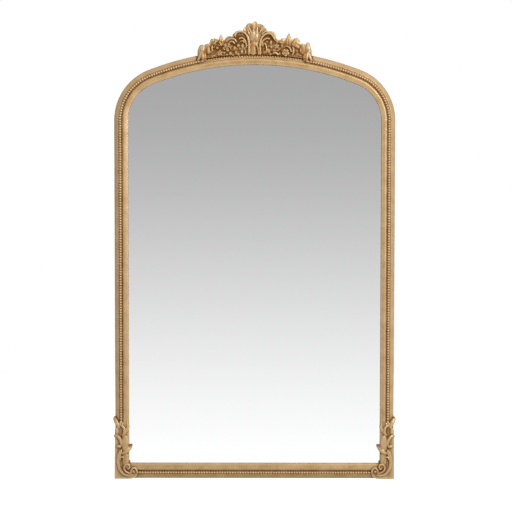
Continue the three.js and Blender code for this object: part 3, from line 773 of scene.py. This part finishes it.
def markReliefAndPaintedLight(piece, maps):
    # the mark is above 0 on the high places and below it in the hollows; painted shade lowers it and painted
    # highlights raise it at given places
    origin, near, far = maps
    sunk = relief["sunk"][piece.name.split("_")[0]]
    points = pointsOf(piece)
    depth = -points[:, 1]
    proud = (depth - sampled(near, origin, points)) / relief["near"] * relief["nearShare"]
    proud += (depth - sampled(far, origin, points)) / relief["far"] * relief["farShare"]
    offset = offsetAt(points[:, 0], points[:, 2])
    # painted shade on the rail's inner slope and a painted highlight on its outer side
    if piece is moulding:
        proud += np.interp(offset, *relief["paintedLightOverRail"])
    # painted shadow on the rail just under the crest, and painted light a little lower
    below = crestPlan["footOffset"] - offset
    under = (np.abs(points[:, 0]) < crestPlan["halfSpan"]) & (points[:, 2] > 0) & (below > 0)
    proud += under * np.interp(below, *relief["paintedShadeUnderCrest"])
    # painted highlights and painted shade at given places
    for x, z, wide, high, share in relief["paintedShadesAndHighlights"]:
        away = ((np.abs(points[:, 0]) - x) / wide) ** 2 + ((points[:, 2] - z) / high) ** 2
        proud += share * np.exp(-away)
    proud = np.where(depth < relief["ground"], np.maximum(proud, relief["plain"]), proud)
    mark = piece.data.attributes.new("proud", "FLOAT", "POINT")
    mark.data.foreach_set("value", (proud - sunk).astype(np.float32))


cast = {"voxel": 0.58, "smoothing": 2, "softness": 0.5, "mostTriangles": 180000}


def castPiece(name, bodies):
    # one skin over all the carved bodies, softened as a casting is
    points, faces = gathered(bodies)
    piece = newObject(name, points, faces, "gilt")
    remesh = piece.modifiers.new("cast", "REMESH")
    remesh.mode = "VOXEL"
    remesh.voxel_size = cast["voxel"]
    soften = piece.modifiers.new("soften", "SMOOTH")
    soften.factor = cast["softness"]
    soften.iterations = cast["smoothing"]
    finished(piece)
    triangles = 2 * len(piece.data.polygons)
    if triangles > cast["mostTriangles"]:
        fewer = piece.modifiers.new("fewer", "DECIMATE")
        fewer.ratio = cast["mostTriangles"] / triangles
        finished(piece)
    piece.data.shade_smooth()
    print("cast", name, triangles, "triangles at first")
    return piece


# Finishes

def newMaterial(name, **values):
    material = bpy.data.materials.new(name)
    material.use_nodes = True
    tree = material.node_tree
    shader = tree.nodes["Principled BSDF"]
    for key, value in values.items():
        shader.inputs[key.replace("_", " ")].default_value = value
    return material, tree, shader


def placeNode(tree, kind, values=None, **settings):
    node = tree.nodes.new(kind)
    for key, value in settings.items():
        setattr(node, key, value)
    for key, value in (values or {}).items():
        node.inputs[key].default_value = value
    return node


def texture(tree, kind, values):
    # a texture in the object's own coordinates
    node = placeNode(tree, kind, values)
    where = placeNode(tree, "ShaderNodeTexCoord")
    tree.links.new(where.outputs["Object"], node.inputs["Vector"])
    return node


def tinted(tree, factor, first, second):
    node = placeNode(tree, "ShaderNodeMix", data_type="RGBA")
    for key, value in zip(("Factor", "A", "B"), (factor, first, second)):
        if isinstance(value, tuple):
            node.inputs[key].default_value = value
        else:
            tree.links.new(value, node.inputs[key])
    return node.outputs["Result"]


def ranged(tree, value, low, high, outLow=0.0, outHigh=1.0):
    node = placeNode(tree, "ShaderNodeMapRange",
                     {"From Min": low, "From Max": high, "To Min": outLow, "To Max": outHigh})
    tree.links.new(value, node.inputs["Value"])
    return node.outputs["Result"]


def combined(tree, operation, first, second):
    node = placeNode(tree, "ShaderNodeMath", operation=operation)
    for socket, value in zip(node.inputs, (first, second)):
        if isinstance(value, float):
            socket.default_value = value
        else:
            tree.links.new(value, socket)
    return node.outputs["Value"]


def bumped(tree, height, shader, strength, distance):
    bump = placeNode(tree, "ShaderNodeBump", {"Strength": strength, "Distance": distance})
    tree.links.new(height, bump.inputs["Height"])
    tree.links.new(bump.outputs["Normal"], shader.inputs["Normal"])


# capitals are inputs of the finish group
gilding = {
    "Body": (0.51, 0.32, 0.142, 1),
    "Second": (0.56, 0.37, 0.185, 1),
    # the wash colour also paints the shade, and the rubbed colour the highlights
    "Wash": (0.19, 0.062, 0.005, 1),
    "Rubbed": (0.76, 0.56, 0.33, 1),
    "Wash Amount": 0.95,
    "Rubbed Amount": 0.55,
    "Mottle Scale": 55.0,
    "Grain Scale": 1100.0,
    "metallicShare": 0.35,
    "edgeTint": (1, 0.82, 0.55, 1),
    "bumpStrength": 0.12,
    "bumpDistance": 0.0004,
    "specular": 0.25,
}
# the crest is darker and yellower than the rail
crestGilding = {
    **gilding,
    "Body": (0.485, 0.292, 0.117, 1),
    "Second": (0.515, 0.33, 0.154, 1),
    "Wash": (0.17, 0.05, 0.001, 1),
    "Rubbed": (0.63, 0.465, 0.28, 1),
    "Rubbed Amount": 0.72,
    "specular": 0.15,
}
finishInputs = [key for key in gilding if key[0].isupper()]


def agedFinishGroup():
    # colour, roughness, metal and fine height of a finish that has sunk into hollows and worn off edges; the
    # same wash also paints shade, and the same rubbing paints highlights, where the mark asks for them
    group = bpy.data.node_groups.new("agedFinish", "ShaderNodeTree")
    for name in ["Proud", *finishInputs]:
        value = gilding.get(name, 0.0)
        kind = "NodeSocketColor" if isinstance(value, tuple) else "NodeSocketFloat"
        group.interface.new_socket(name, in_out="INPUT", socket_type=kind).default_value = value
    for name in ["Color", "Roughness", "Metallic", "Height"]:
        kind = "NodeSocketColor" if name == "Color" else "NodeSocketFloat"
        group.interface.new_socket(name, in_out="OUTPUT", socket_type=kind)
    given = placeNode(group, "NodeGroupInput").outputs
    result = placeNode(group, "NodeGroupOutput").inputs
    link = group.links.new

    def noise(scale, detail):
        node = texture(group, "ShaderNodeTexNoise", {"Detail": detail, "Roughness": 0.6})
        link(scale, node.inputs["Scale"])
        return node.outputs["Fac"]

    mottle = noise(given["Mottle Scale"], 4.0)
    grain = noise(given["Grain Scale"], 3.0)
    uneven = ranged(group, mottle, 0.3, 0.7, -0.16, 0.16)
    proud = combined(group, "ADD", given["Proud"], uneven)
    # wash in the hollows, which also paints the shade where the mark is low
    washAndPaintedShade = combined(group, "MULTIPLY", ranged(group, proud, 0.25, -0.65), given["Wash Amount"])
    # rubbed high places, which also paint the highlights where the mark is high
    rubbedAndPaintedHighlight = combined(group, "MULTIPLY", ranged(group, proud, 0.1, 0.9), given["Rubbed Amount"])
    body = tinted(group, ranged(group, mottle, 0.38, 0.64), given["Body"], given["Second"])
    worn = tinted(group, rubbedAndPaintedHighlight, body, given["Rubbed"])
    link(tinted(group, washAndPaintedShade, worn, given["Wash"]), result["Color"])
    dull = ranged(group, washAndPaintedShade, 0.0, 1.0, 0.0, 0.25)
    link(combined(group, "ADD", ranged(group, grain, 0.3, 0.7, 0.3, 0.46), dull), result["Roughness"])
    link(ranged(group, washAndPaintedShade, 0.0, 1.0, 1.0, 0.5), result["Metallic"])
    link(grain, result["Height"])
    return group


def giltMaterial(name, gilding, group):
    material, tree, shader = newMaterial(name, Specular_IOR_Level=gilding["specular"],
                                         Specular_Tint=gilding["edgeTint"])
    link = tree.links.new
    mark = placeNode(tree, "ShaderNodeAttribute", attribute_name="proud")
    finish = placeNode(tree, "ShaderNodeGroup", {key: gilding[key] for key in finishInputs}, node_tree=group)
    link(mark.outputs["Fac"], finish.inputs["Proud"])
    link(finish.outputs["Color"], shader.inputs["Base Color"])
    link(finish.outputs["Roughness"], shader.inputs["Roughness"])
    metal = combined(tree, "MULTIPLY", finish.outputs["Metallic"], gilding["metallicShare"])
    link(metal, shader.inputs["Metallic"])
    bumped(tree, finish.outputs["Height"], shader, gilding["bumpStrength"], gilding["bumpDistance"])
    return material


def silveredMaterial():
    material, tree, shader = newMaterial("silvered_glass", Metallic=1.0)
    cloud = texture(tree, "ShaderNodeTexNoise", {"Scale": 3.0, "Detail": 2.0}).outputs["Fac"]
    colour = tinted(tree, cloud, (0.935, 0.94, 0.945, 1), (0.945, 0.945, 0.945, 1))
    tree.links.new(colour, shader.inputs["Base Color"])
    tree.links.new(ranged(tree, cloud, 0.0, 1.0, 0.012, 0.03), shader.inputs["Roughness"])
    return material


def fibreboardMaterial():
    material, tree, shader = newMaterial("brown_fibreboard", Roughness=0.82)
    link = tree.links.new
    stretch = texture(tree, "ShaderNodeMapping", {"Scale": (1, 1, 0.3)})
    fibres = placeNode(tree, "ShaderNodeTexNoise", {"Scale": 420.0, "Detail": 6.0, "Roughness": 0.7})
    link(stretch.outputs["Vector"], fibres.inputs["Vector"])
    cloud = texture(tree, "ShaderNodeTexNoise", {"Scale": 14.0, "Detail": 3.0})
    both = placeNode(tree, "ShaderNodeMix", {"Factor": 0.3}, data_type="FLOAT")
    link(fibres.outputs["Fac"], both.inputs["A"])
    link(cloud.outputs["Fac"], both.inputs["B"])
    ramp = placeNode(tree, "ShaderNodeValToRGB")
    stops = [(0.25, (0.13, 0.075, 0.036, 1)), (0.78, (0.36, 0.225, 0.12, 1))]
    for stop, (place, colour) in zip(ramp.color_ramp.elements, stops):
        stop.position, stop.color = place, colour
    link(both.outputs["Result"], ramp.inputs["Fac"])
    link(ramp.outputs["Color"], shader.inputs["Base Color"])
    bumped(tree, fibres.outputs["Fac"], shader, 0.25, 0.0004)
    return material


def zincMaterial():
    material, tree, shader = newMaterial("zinc_plate", Metallic=1.0)
    spangle = texture(tree, "ShaderNodeTexVoronoi", {"Scale": 260.0}).outputs["Distance"]
    colour = tinted(tree, spangle, (0.5, 0.51, 0.53, 1), (0.68, 0.68, 0.67, 1))
    tree.links.new(colour, shader.inputs["Base Color"])
    tree.links.new(ranged(tree, spangle, 0.0, 1.0, 0.28, 0.5), shader.inputs["Roughness"])
    return material


# The frame's pieces

def scaledToMetres(piece):
    piece.data.transform(((1 / metre, 0, 0, 0), (0, 1 / metre, 0, 0), (0, 0, 1 / metre, 0), (0, 0, 0, 1)))
    piece.data.update()


def dressed(piece, material):
    piece.data.materials.clear()
    piece.data.materials.append(material)


def ridingPiece(piece, material, *replaced):
    scaledToMetres(piece)
    dressed(piece, material)
    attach(piece, "root")
    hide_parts(*replaced)


agedFinish = agedFinishGroup()
gilt = giltMaterial("antiqued_gilt", gilding, agedFinish)
crestGilt = giltMaterial("crest_gilt", crestGilding, agedFinish)

moulding = newObject("moulding", *railBody(), "gilt")
crestPiece = castPiece("crest", crestBodies())
cornerPieces = [castPiece("corner_" + word, cornerBodies(side))
                for side, word in [(-1, "left"), (1, "right")]]
beadPiece = newObject("beads", *gathered(beadBodies()), "gilt")
maps = reliefMaps([crestPiece, *cornerPieces, beadPiece])
for piece in [moulding, crestPiece, *cornerPieces, beadPiece]:
    markReliefAndPaintedLight(piece, maps)
    ridingPiece(piece, crestGilt if piece is crestPiece else gilt, "frame")
print("frame pieces made")


# The glass, the board, the plates and the screws

dressed(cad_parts["mirror_glass"], silveredMaterial())
dressed(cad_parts["backing_board"], fibreboardMaterial())
zinc = zincMaterial()

screw = {
    "around": 40,
    "headRings": 14,
    "seat": 0.25,  # how far the head lies below the wall plane
    "recess": {"reach": 0.55, "halfWidth": 0.15, "depth": 0.4},  # as shares of the head's radius
    "shank": 0.48,
    "pitch": 0.34,
    "threadDepth": 0.2,
    "threadEnd": 0.82, "pointStart": 0.92, "pointWidth": 0.6,
}


def screwPiece(node):
    # a countersunk screw with a cross recess and a thread, its head towards the wall
    low, high = (np.array(corner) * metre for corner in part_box(node))
    head = (high[0] - low[0]) / 2
    length = -low[1]
    recess = {key: share * head for key, share in screw["recess"].items()}
    angles = np.arange(screw["around"]) * 2 * math.pi / screw["around"]
    stops = [(radius, screw["seat"]) for radius in np.linspace(0.02, 0.95, screw["headRings"]) * head]
    stops += [(head, screw["seat"] + 0.1), (head, screw["seat"] + 0.3)]
    shank = screw["shank"] * head
    foot = head - shank + 0.6
    stops += [(shank, foot)]
    for depth in np.arange(foot + 0.3, length * screw["threadEnd"], screw["pitch"] * head / 2):
        isCrest = len(stops) % 2
        stops.append((shank * (1 if isCrest else 1 - screw["threadDepth"]), depth))
    stops += [(shank * screw["pointWidth"], length * screw["pointStart"]), (0.1, length)]
    rings = np.empty((len(stops), len(angles), 3))
    for i, (radius, depth) in enumerate(stops):
        x, z = radius * np.cos(angles), radius * np.sin(angles)
        near, far = np.minimum(np.abs(x), np.abs(z)), np.maximum(np.abs(x), np.abs(z))
        cut = (near < recess["halfWidth"]) & (far < recess["reach"]) & (depth <= screw["seat"])
        rings[i, :, 0], rings[i, :, 2] = x, z
        rings[i, :, 1] = -(depth + cut * recess["depth"])
    points, faces = skin(rings)
    middle = (low + high) / 2
    piece = newObject(node + "_detail", points + (middle[0], 0, middle[2]), faces, "screws")
    ridingPiece(piece, zinc, node)


plate = {
    "corner": 4,
    "bevel": 0.35,
    "entryRadius": 5, "entryHeight": -4.5, "slotRadius": 2.7, "slotTop": 3.8,
    "screwSpread": 18, "screwHole": 3.2,
}


def arcPoints(centre, radius, start, end, steps=24):
    turns = np.radians(np.linspace(start, end, steps))
    return [(centre[0] + radius * math.cos(a), centre[1] + radius * math.sin(a)) for a in turns]


def keyholeLoop():
    slot, entry = plate["slotRadius"], plate["entryRadius"]
    edge = math.degrees(math.acos(slot / entry))
    loop = arcPoints((0, plate["slotTop"] - slot), slot, 0, 180)
    return loop + arcPoints((0, plate["entryHeight"]), entry, 180 - edge, 360 + edge, 60)


def plateLoops(width, height):
    corner = plate["corner"]
    rim = []
    for turn in range(4):
        signs = [(1, 1), (-1, 1), (-1, -1), (1, -1)][turn]
        centre = signs[0] * (width / 2 - corner), signs[1] * (height / 2 - corner)
        rim += arcPoints(centre, corner, 90 * turn, 90 * turn + 90, 10)
    holes = [arcPoints((side * plate["screwSpread"], 0), plate["screwHole"], 0, 350, 36) for side in (-1, 1)]
    return [rim, keyholeLoop(), *holes]


def platePiece(node):
    # a pressed plate with softened edges, its keyhole and its screw holes
    low, high = (np.array(corner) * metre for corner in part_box(node))
    outline = bpy.data.curves.new("outline", "CURVE")
    outline.dimensions = "2D"
    outline.fill_mode = "BOTH"
    outline.bevel_depth = plate["bevel"]
    outline.bevel_resolution = 2
    outline.offset = -plate["bevel"]
    outline.extrude = (high[1] - low[1]) / 2 - plate["bevel"]
    for loop in plateLoops(high[0] - low[0], high[2] - low[2]):
        spline = outline.splines.new("POLY")
        spline.points.add(len(loop) - 1)
        spline.use_cyclic_u = True
        for point, (x, z) in zip(spline.points, loop):
            point.co = (x, z, 0, 1)
    drawn = bpy.data.objects.new("outline", outline)
    bpy.context.scene.collection.objects.link(drawn)
    mesh = bpy.data.meshes.new_from_object(drawn.evaluated_get(bpy.context.evaluated_depsgraph_get()))
    bpy.data.objects.remove(drawn)
    points = np.empty(len(mesh.vertices) * 3)
    mesh.vertices.foreach_get("co", points)
    x, z, depth = points.reshape(-1, 3).T
    middle = (low + high) / 2
    faces = [tuple(face.vertices) for face in mesh.polygons]
    placed = np.stack([x + middle[0], middle[1] - depth, z + middle[2]], axis=1)
    piece = newObject(node + "_detail", placed, faces, "zinc_plated")
    ridingPiece(piece, zinc, node)


for name in list(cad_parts):
    if name.startswith("hanger_plate"):
        platePiece(name)
    if "_screw_" in name:
        screwPiece(name)
print("glass, board and fittings made")


# The studio

studio = {
    "cameraAcross": 2.4, "cameraHeight": -55, "cameraAway": 2500, "lookHeight": -177.4, "roll": 0.06,
    "viewWidth": 874.6, "sensorWidth": 36,
    "floorDepth": 900, "floorReach": 4,
    # the wall of the room opposite: dim above, bright below, and dim again near the floor
    "wallDim": 0.41, "wallBright": 1.18, "overhead": 0.4, "underfoot": 0.5,
    "leftDim": 0.85, "rightBright": 1.15,
    # the directions between which it changes
    "wallBand": (0.09, -0.27), "lowBand": (-0.29, -0.55), "highBand": (0.12, 0.5),
    "leftBand": (-0.2, -0.8), "rightBand": (0.2, 0.8),
    "softShare": 0.42,  # how much of it lights the matt parts
    # the lights: the place, the aim, the size and the power
    "key": ((1.3, -2.5, 0.75), (0, 0, -0.15), 1.2, 44.5),
    "top": ((0, -1.2, 0.45), (0, 0, 0), 0.6, 4),
}


def buildWorld():
    world = bpy.data.worlds.new("studio")
    bpy.context.scene.world = world
    world.use_nodes = True
    tree = world.node_tree
    tree.nodes.clear()
    link = tree.links.new
    where = placeNode(tree, "ShaderNodeTexCoord")
    split = placeNode(tree, "ShaderNodeSeparateXYZ")

    def band(name, low, high, axis="Z"):
        output = ranged(tree, split.outputs[axis], *studio[name], low, high)
        output.node.interpolation_type = "SMOOTHSTEP"
        return output

    link(where.outputs["Generated"], split.inputs["Vector"])
    wall = band("wallBand", studio["wallDim"], studio["wallBright"])
    low = band("lowBand", 1.0, studio["underfoot"])
    high = band("highBand", 0.0, studio["overhead"])
    strength = combined(tree, "ADD", combined(tree, "MULTIPLY", wall, low), high)
    seen = placeNode(tree, "ShaderNodeLightPath")
    soft = ranged(tree, seen.outputs["Is Diffuse Ray"], 0.0, 1.0, 1.0, studio["softShare"])
    left = band("leftBand", 1.0, studio["leftDim"], "X")
    right = band("rightBand", 1.0, studio["rightBright"], "X")
    for share in (left, right, soft):
        strength = combined(tree, "MULTIPLY", strength, share)
    pick = placeNode(tree, "ShaderNodeMix", {"B": 1.0}, data_type="FLOAT")
    glow = placeNode(tree, "ShaderNodeBackground", {"Color": (1, 1, 1, 1)})
    out = placeNode(tree, "ShaderNodeOutputWorld")
    link(strength, pick.inputs["A"])
    link(seen.outputs["Is Camera Ray"], pick.inputs["Factor"])
    link(pick.outputs["Result"], glow.inputs["Strength"])
    link(glow.outputs["Background"], out.inputs["Surface"])


def aimed(towards):
    return Vector(towards).to_track_quat("-Z", "Y").to_euler()


def addLight(name):
    place, aim, size, watts = studio[name]
    lamp = bpy.data.lights.new(name, "AREA")
    lamp.shape = "DISK"
    lamp.size = size
    lamp.energy = watts
    light = bpy.data.objects.new(name, lamp)
    bpy.context.scene.collection.objects.link(light)
    light.location = place
    light.rotation_euler = aimed(np.array(aim) - np.array(place))
    return light


def buildCamera():
    camera = bpy.data.objects.new("camera", bpy.data.cameras.new("camera"))
    bpy.context.scene.collection.objects.link(camera)
    place = np.array([studio["cameraAcross"], -studio["cameraAway"], studio["cameraHeight"]]) / metre
    aim = np.array([studio["cameraAcross"], 0, studio["lookHeight"]]) / metre
    camera.location = place
    camera.rotation_euler = aimed(aim - place)
    camera.rotation_euler.rotate_axis("Z", math.radians(studio["roll"]))
    away = np.linalg.norm(aim - place)
    camera.data.sensor_width = studio["sensorWidth"]
    camera.data.lens = studio["sensorWidth"] * away / (studio["viewWidth"] / metre)
    bpy.context.scene.camera = camera


def buildFloor():
    low, reach = -studio["floorDepth"] / metre, studio["floorReach"]
    points = np.array([(x * reach, y * reach, low) for x, y in ((-1, -1), (1, -1), (1, 1), (-1, 1))])
    floor = newObject("floor", points, [(0, 1, 2, 3)], None, smooth=False)
    material = newMaterial("pale_floor", Base_Color=(0.9, 0.9, 0.9, 1), Roughness=0.9,
                           Emission_Color=(1, 1, 1, 1), Emission_Strength=1.0)[0]
    floor.data.materials.append(material)
    floor.visible_glossy = False
    floor.visible_diffuse = False


bpy.context.scene.view_settings.view_transform = "Standard"
buildWorld()
buildFloor()
buildCamera()
addLight("key")
addLight("top").visible_glossy = False
